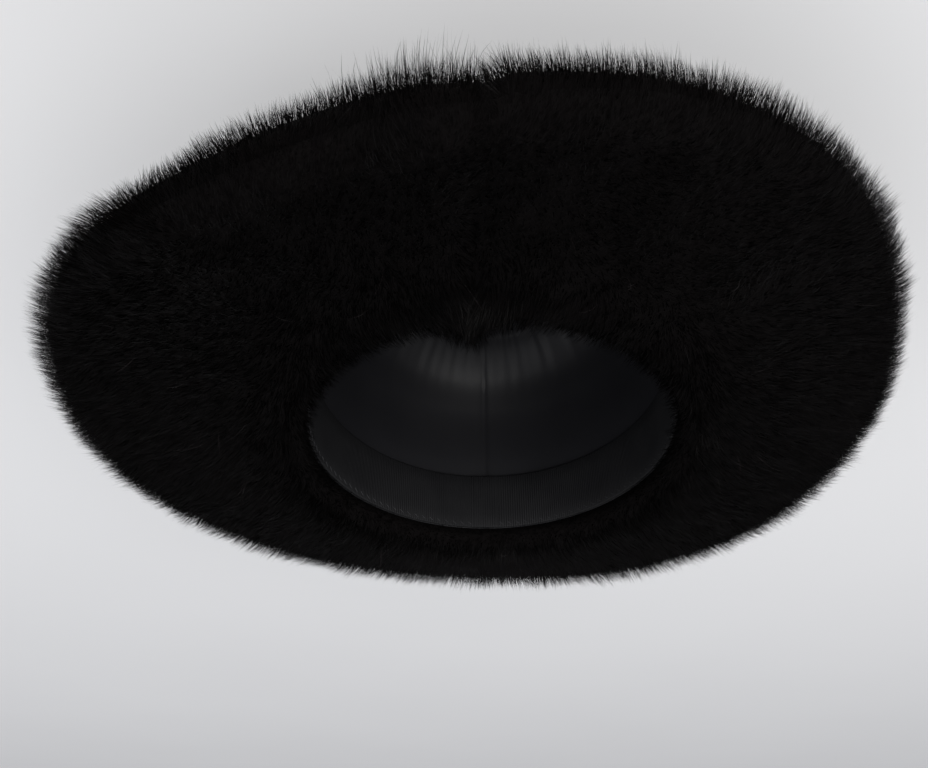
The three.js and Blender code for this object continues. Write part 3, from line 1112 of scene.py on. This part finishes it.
class Finish:
    """A material and its nodes."""

    def __init__(self, name):
        self.material = bpy.data.materials.new(name)
        self.material.use_nodes = True
        self.nodes = self.material.node_tree.nodes
        self.links = self.material.node_tree.links
        self.shader = self.nodes["Principled BSDF"]

    def plug(self, socket, value):
        """Sets a socket to a number or colour, or links a wire to it."""
        if isinstance(value, Wire):
            self.links.new(value.socket, socket)
        else:
            socket.default_value = value

    def node(self, kind, settings, values):
        """A node of a type: its settings first, then its sockets. Gives its outputs by name and number."""
        made = self.nodes.new(kind)
        for name, value in settings.items():
            setattr(made, name, value)
        for socket, value in values.items():
            self.plug(made.inputs[socket], value)
        wires = [Wire(self, output) for output in made.outputs]
        return dict(enumerate(wires)) | {wire.socket.name: wire for wire in wires}

    def math(self, operation, *values):
        return self.node("ShaderNodeMath", {"operation": operation}, dict(enumerate(values)))["Value"]

    def blend(self, share, low, high):
        """A colour between two. A Mix node's colours are its inputs 6 and 7 and its output 2."""
        return self.node("ShaderNodeMix", {"data_type": "RGBA"}, {"Factor": share, 6: low, 7: high})[2]

    def place(self):
        return self.node("ShaderNodeTexCoord", {}, {})["Object"]

    def noise(self, scale, detail=3.0):
        values = {"Vector": self.place(), "Scale": scale, "Detail": detail}
        return self.node("ShaderNodeTexNoise", {}, values)["Fac"]

    def bump(self, height, strength, distance):
        values = {"Strength": strength, "Distance": distance, "Height": height}
        return self.node("ShaderNodeBump", {}, values)["Normal"]

    def set(self, **sockets):
        """Sets the main shader's sockets, with spaces for underscores."""
        for name, value in sockets.items():
            self.plug(self.shader.inputs[name.replace("_", " ")], value)
        return self


# %% [markdown]
# ## The finish of the fur
# Black mink is a very dark brown, and only its guard hairs shine a little. They take their colour from two
# noises, a broad one for patches of the coat and a fine one for single hairs, so no two locks are quite
# alike. The underfur and the skin hardly shine, which keeps the coat deep. Their dark colour is raised a
# little as painted fill light, which makes up for the shade deep between the hairs. The hair of the round
# edge is a lighter copy of the guard hair, a painted backlight of thin hair against the pale floor. The
# hair over the forehead is a darker copy, a painted shade over the lip. The stray hairs are a pale brown
# that is a painted glint.

# %% Fur finishes
BROWN_BLACK = (1.0, 0.79, 0.82)
PATCH_SCALE, HAIR_SCALE = 45.0, 900.0
PATCH_SHARE = 0.7
GUARD_ROUGH = (0.34, 0.54)
DULL = 0.05


def colour(red, green, blue):
    return (red, green, blue, 1.0)


def tone(share):
    """A dark brown-black: so much of its tint."""
    return colour(*(share * part for part in BROWN_BLACK))


def guard_finish(name, dark, light, shine):
    finish = Finish(name)
    patches = finish.noise(PATCH_SCALE)
    fine = finish.noise(HAIR_SCALE, detail=1.0)
    share = mix(fine, patches, PATCH_SHARE)
    finish.set(Base_Color=finish.blend(share, tone(dark), tone(light)), Roughness=mix(*GUARD_ROUGH, fine))
    return finish.set(Specular_IOR_Level=shine).material


def cloudy_finish(name, dark, light, rough, shine, scale, detail=3.0):
    """A finish whose colour and roughness follow one noise, its cloud."""
    finish = Finish(name)
    finish.cloud = finish.noise(scale, detail)
    finish.set(Base_Color=finish.blend(finish.cloud, dark, light), Roughness=mix(*rough, finish.cloud))
    return finish.set(Specular_IOR_Level=shine)


def pelt_finish():
    finish = cloudy_finish("pelt painted fill", SKIN_PAINTED_FILL_DARK, SKIN_PAINTED_FILL_LIGHT, (0.85, 0.95), DULL, scale=700.0)
    return finish.set(Normal=finish.bump(finish.cloud, strength=0.6, distance=0.001)).material


# The skin and underfur colours: their own dark tone, raised a little as painted fill light for the shade
# between the hairs.
SKIN_PAINTED_FILL_DARK, SKIN_PAINTED_FILL_LIGHT = tone(0.0018), tone(0.0030)
guard_black = guard_finish("guard hair black", 0.0012, 0.0026, DULL)
# The edge and long hair: a lighter copy of the guard hair, a painted backlight of thin hair against the
# bright floor.
rim_painted_backlight = guard_finish("rim hair painted backlight", 0.0014, 0.0040, 0.06)
# The hair over the forehead and the V: a darker copy of the guard hair, a painted shade over the lip.
forehead_painted_shade = guard_finish("forehead hair painted shade", 0.0008, 0.0016, 0.02)
# The stray hairs: a pale brown that is a painted glint of hairs catching the light.
stray_painted_glint = guard_finish("stray hair painted glint", 0.010, 0.030, 0.2)
underfur_finish = cloudy_finish("underfur painted fill", SKIN_PAINTED_FILL_DARK, SKIN_PAINTED_FILL_LIGHT, (0.7, 0.9), DULL, scale=120.0)
underfur_painted_fill = underfur_finish.material
pelt_painted_fill = pelt_finish()
print("finishes of the hair and skin:", guard_black.name, rim_painted_backlight.name, forehead_painted_shade.name,
      stray_painted_glint.name, underfur_painted_fill.name, pelt_painted_fill.name)

# %% [markdown]
# ## The finish of the satin, the ribbon and the thread
# Satin is smooth, with a faint weave. The ribbon has fine upright ribs, which a sine of the angle
# round the hat gives evenly: they are too fine to model and go into a Bump node. The thread is a
# little paler than what it is sewn to, as hand stitches look.

# %% Satin, ribbon and thread finishes
RIB_COUNT = 480.0


def satin_finish():
    finish = Finish("lining satin")
    weave = finish.noise(scale=1400.0, detail=2.0)
    cloud = finish.noise(scale=35.0)
    finish.set(Base_Color=finish.blend(cloud, colour(0.007, 0.007, 0.0085), colour(0.011, 0.011, 0.013)))
    finish.set(Roughness=mix(0.42, 0.60, weave), Specular_IOR_Level=0.28)
    return finish.set(Normal=finish.bump(weave, strength=0.25, distance=0.0003)).material


def ribbon_finish():
    dark, light = colour(0.005, 0.005, 0.006), colour(0.009, 0.009, 0.010)
    finish = cloudy_finish("ribbed ribbon", dark, light, (0.55, 0.70), shine=0.2, scale=60.0)
    split = finish.node("ShaderNodeSeparateXYZ", {}, {"Vector": finish.place()})
    rib = finish.math("SINE", finish.math("ARCTAN2", split["Y"], split["X"]) * RIB_COUNT)
    return finish.set(Normal=finish.bump(rib * 0.5 + 0.5, strength=0.6, distance=0.0006)).material


def thread_finish():
    dark, light = colour(0.016, 0.016, 0.018), colour(0.032, 0.032, 0.035)
    finish = cloudy_finish("black thread", dark, light, (0.5, 0.7), shine=0.25, scale=2200.0, detail=1.0)
    return finish.material


satin_black = satin_finish()
ribbon_black = ribbon_finish()
thread_black = thread_finish()
print("ribs round the band:", round(RIB_COUNT))

# %% [markdown]
# ## Dress the pieces
# Every piece is attached to the one body, root, and gets its finish, and the plain solid that a piece
# stands for is hidden. The name of a hair piece ends with its kind of hair, and the kind gives the finish.

# %% Dress the pieces
def dress(piece, material, slot, *nodes):
    piece.data.materials.append(material)
    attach(piece, "root")
    if nodes:
        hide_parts(*nodes)


dress(facing_pelt, pelt_painted_fill, "facing_fur", "brim_facing_fur")
dress(upper_pelt, pelt_painted_fill, "fur", "brim_upper_fur")
dress(crown_pelt_piece, pelt_painted_fill, "fur", "crown_fur")
dress(satin_piece, satin_black, "satin_lining", "crown_lining")
dress(band_piece, ribbon_black, "ribbon", "sweatband")
dress(stitch_piece, thread_black, "ribbon")
HAIR_FINISH = {"underfur": underfur_painted_fill, "guard_hair": guard_black, "edge_hair": rim_painted_backlight,
               "long_hair": rim_painted_backlight, "forehead_hair": forehead_painted_shade, "vee_hair": forehead_painted_shade,
               "stray_hair": stray_painted_glint}


def hair_finish(piece):
    return next(finish for kind, finish in HAIR_FINISH.items() if piece.name.endswith(kind))


for pieces, slot in ((facing_pieces, "facing_fur"), (upper_pieces, "fur"), (crown_pieces, "fur")):
    for piece in pieces:
        dress(piece, hair_finish(piece), slot)
print("dressed:", len(hat_pieces), "pieces")

# %% [markdown]
# ## Floor
# The floor is plain pale paper, large enough to fill the picture.

# %% Floor
FLOOR_SIZE = 9
FLOOR_PLACE = (0, 2.5, 0)
FLOOR_CELLS = 4
bpy.ops.mesh.primitive_grid_add(size=FLOOR_SIZE, x_subdivisions=FLOOR_CELLS,
                                y_subdivisions=FLOOR_CELLS, location=FLOOR_PLACE)
floor = bpy.context.object
floor.name = "floor"
darker, paler = colour(0.74, 0.74, 0.75), colour(0.78, 0.78, 0.79)
paper = cloudy_finish("pale paper", darker, paler, (0.9, 0.95), shine=0.1, scale=2.0)
floor.data.materials.append(paper.material)
print("floor, m:", FLOOR_SIZE)

# %% [markdown]
# ## Light
# The light is one broad soft panel from the camera's side with a pale surround, as beside a window.
# Black fur shows only by its sheen, so a weak second panel on the other side lifts the shadows.

# %% Light
SURROUND_COLOUR = colour(0.95, 0.96, 0.985)
SURROUND_STRENGTH = 0.61
PANEL_SIZE = 2.2
AIM = Vector((0, 0, 0.1))

world = bpy.data.worlds.new("pale surround")
bpy.context.scene.world = world
world.use_nodes = True
surround = world.node_tree.nodes["Background"].inputs
surround["Color"].default_value = SURROUND_COLOUR
surround["Strength"].default_value = SURROUND_STRENGTH


def panel(name, place, power, tint):
    """A square panel of light that faces the hat."""
    light = bpy.data.lights.new(name, "AREA")
    light.size = PANEL_SIZE
    light.energy = power
    light.color = tint
    lamp = bpy.data.objects.new(name, light)
    lamp.location = place
    lamp.rotation_euler = (AIM - Vector(place)).to_track_quat("-Z", "Y").to_euler()
    bpy.context.scene.collection.objects.link(lamp)


panel("window", place=(-0.8, -1.9, 0.95), power=66, tint=(1.0, 0.99, 0.97))
panel("room", place=(1.6, -0.6, 1.6), power=12, tint=(0.96, 0.97, 1.0))
print("panels:", len(bpy.data.lights))

# %% [markdown]
# ## Camera
# The camera has the photo's angle to the hat. The photo was taken from below a worn brim, so with
# the hat on its crown the camera is above the floor and rolled over: its right is -X.

# %% Camera
PHOTO_WIDTH = 928
PHOTO_FOCAL = 829
SENSOR_WIDTH = 36
NEAR_CLIP = 0.01
CAMERA_TILT = math.radians(32.5)
CAMERA_PLACE = (0.0122, -0.3378, 0.3083)

camera_data = bpy.data.cameras.new("photo camera")
camera_data.sensor_width = SENSOR_WIDTH
camera_data.lens = PHOTO_FOCAL / PHOTO_WIDTH * SENSOR_WIDTH
camera_data.clip_start = NEAR_CLIP
camera = bpy.data.objects.new("photo camera", camera_data)
sine, cosine = math.sin(CAMERA_TILT), math.cos(CAMERA_TILT)
right, top, back = (-1, 0, 0), (0, -sine, -cosine), (0, -cosine, sine)
camera.matrix_world = Matrix.Translation(CAMERA_PLACE) @ Matrix([right, top, back]).transposed().to_4x4()
bpy.context.scene.collection.objects.link(camera)
bpy.context.scene.camera = camera
bpy.context.scene.view_settings.view_transform = "Standard"
print("lens, mm:", round(camera_data.lens, 1))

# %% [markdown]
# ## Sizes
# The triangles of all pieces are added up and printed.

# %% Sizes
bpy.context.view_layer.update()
total = sum(len(piece.data.loops) - 2 * len(piece.data.polygons) for piece in hat_pieces)
print("all pieces have", total, "triangles")
